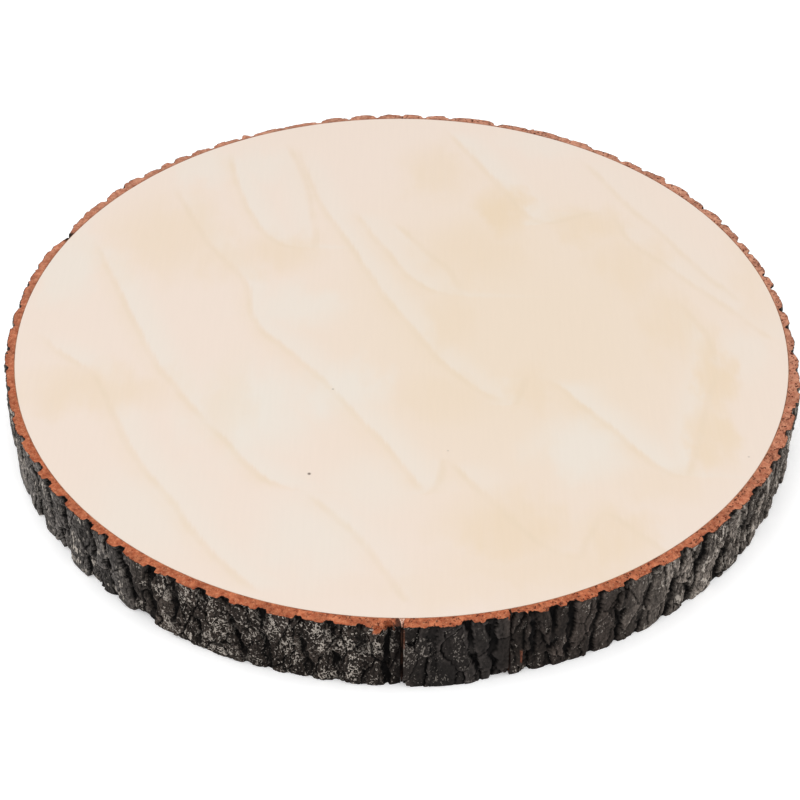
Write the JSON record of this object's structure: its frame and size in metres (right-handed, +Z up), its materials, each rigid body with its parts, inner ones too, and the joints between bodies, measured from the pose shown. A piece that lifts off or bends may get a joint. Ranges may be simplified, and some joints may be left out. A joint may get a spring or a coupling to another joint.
{
  "type": "wood slice",
  "caption": "Flat round slab of pale wood edged all round with strips of rough furrowed bark; a decorative base, board or stand that other things rest on.",
  "frame": {"origin": "centre of the disc's underside, where it rests on a table", "axes": "+Z up through the flat top face; -Y towards the short filler strip at the front; +X to the right seen from the front"},
  "size_m": [0.3013, 0.3018, 0.0295],
  "materials": {
    "pale_wood": "sanded smooth, unvarnished",
    "bark": "rough, dry, furrowed bark"
  },
  "bodies": {
    "root": {"wood_disc": "pale_wood", "left_strip": "bark", "filler_strip": "bark", "right_strip": "bark"}
  },
  "joints": []
}
